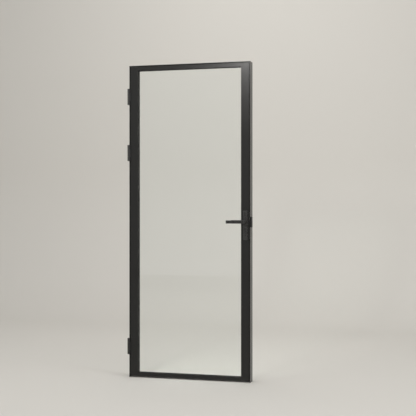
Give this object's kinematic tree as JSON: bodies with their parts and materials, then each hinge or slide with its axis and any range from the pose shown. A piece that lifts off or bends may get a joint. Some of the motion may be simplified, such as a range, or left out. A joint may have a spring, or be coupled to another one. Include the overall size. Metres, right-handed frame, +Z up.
{
  "type": "glass door with frame",
  "caption": "Slim dark aluminium door leaf with one clear pane, hung on barrel hinges in its own frame, with a lever handle and a key cylinder.",
  "frame": {"origin": "finished floor level, in the middle of the frame's width, in the plane of the frame's front edge", "axes": "+X to the right seen from the front (lever side), -Y to the front (the side with the hinge barrels, to which the leaf opens), +Z up"},
  "size_m": [0.8542, 0.15, 2.1],
  "materials": {
    "frame_coat": "satin charcoal powder coat",
    "leaf_coat": "satin charcoal powder coat",
    "furniture_coat": "satin charcoal powder coat",
    "hinge_coat": "satin charcoal powder coat",
    "pin_steel": "satin",
    "screw_steel": "satin",
    "screw_black": "black oxide",
    "plate_steel": "brushed",
    "case_zinc": "zinc plated",
    "bolt_steel": "nickel plated",
    "cylinder_coat": "black plated brass",
    "block_aluminium": "as extruded",
    "bush_plastic": "moulded",
    "cap_plastic": "moulded",
    "seal_rubber": "matt",
    "pane_glass": "clear toughened"
  },
  "bodies": {
    "frame": {"hinge_jamb": "frame_coat", "strike_jamb": "frame_coat", "frame_head": "frame_coat", "corner_cleat_left": "block_aluminium", "corner_cleat_right": "block_aluminium", "hinge_jamb_seal": "seal_rubber", "strike_jamb_seal": "seal_rubber", "head_seal": "seal_rubber", "strike_plate": "plate_steel", "strike_screws": "screw_steel", "bolt_box": "cap_plastic", "frame_hinge_wing_low": "hinge_coat", "frame_hinge_wing_mid": "hinge_coat", "frame_hinge_wing_high": "hinge_coat", "hinge_pin_low": "pin_steel", "hinge_pin_mid": "pin_steel", "hinge_pin_high": "pin_steel", "hinge_clamp_plates": "case_zinc", "frame_wing_screws": "screw_steel"},
    "leaf": {"hinge_stile": "leaf_coat", "lock_stile": "leaf_coat", "top_rail": "leaf_coat", "bottom_rail": "leaf_coat", "rail_connectors": "block_aluminium", "rail_screws": "screw_steel", "stile_end_caps": "cap_plastic", "glass_pane": "pane_glass", "setting_blocks": "cap_plastic", "front_gasket": "seal_rubber", "rear_gasket": "seal_rubber", "bead_left": "leaf_coat", "bead_right": "leaf_coat", "bead_top": "leaf_coat", "bead_bottom": "leaf_coat", "leaf_hinge_wing_low": "hinge_coat", "leaf_hinge_wing_mid": "hinge_coat", "leaf_hinge_wing_high": "hinge_coat", "hinge_bushes": "bush_plastic", "leaf_wing_screws": "screw_steel", "lock_case": "case_zinc", "lock_cover": "case_zinc", "lock_faceplate": "plate_steel", "faceplate_screws": "screw_steel", "cylinder_body": "cylinder_coat", "cylinder_screw": "screw_steel", "case_rivets": "screw_steel", "front_backplate": "furniture_coat", "rear_backplate": "furniture_coat", "backplate_screws": "screw_black", "backplate_sleeves": "screw_black"},
    "handle": {"front_lever": "furniture_coat", "rear_lever": "furniture_coat", "spindle": "case_zinc", "follower": "case_zinc", "lever_grub_screws": "screw_black"},
    "latch": {"latch_bolt": "bolt_steel", "latch_spring": "screw_steel"},
    "key": {"cylinder_plugs": "cylinder_coat", "cylinder_cam": "case_zinc"},
    "bolt": {"dead_bolt": "bolt_steel"}
  },
  "joints": [
    {"name": "leaf_swing", "type": "hinge", "parent": "frame", "child": "leaf", "pos_m": [-0.4195, -0.009, 0], "axis": [0, 0, -1], "range_deg": [0, 170]},
    {"name": "handle_turn", "type": "hinge", "parent": "leaf", "child": "handle", "pos_m": [0.3845, 0.021, 1.05], "axis": [0, -1, 0], "range_deg": [0, 40], "stiffness_Nm_per_rad": 1.3, "springref_deg": -28.65},
    {"name": "latch_slide", "type": "slide", "parent": "leaf", "child": "latch", "axis": [-1, 0, 0], "range_m": [0, 0.0102], "deforming": ["latch_spring"]},
    {"name": "key_turn", "type": "hinge", "parent": "leaf", "child": "key", "pos_m": [0.3845, 0.021, 1.002], "axis": [0, 1, 0], "range_deg": [0, 360]},
    {"name": "bolt_throw", "type": "slide", "parent": "leaf", "child": "bolt", "axis": [1, 0, 0], "range_m": [0, 0.014]}
  ],
  "couplings": [
    {"joint": "latch_slide", "follows": "handle_turn", "m_per_rad": 0.01447},
    {"joint": "key_turn", "follows": "bolt_throw", "rad_per_m": 448.8}
  ]
}
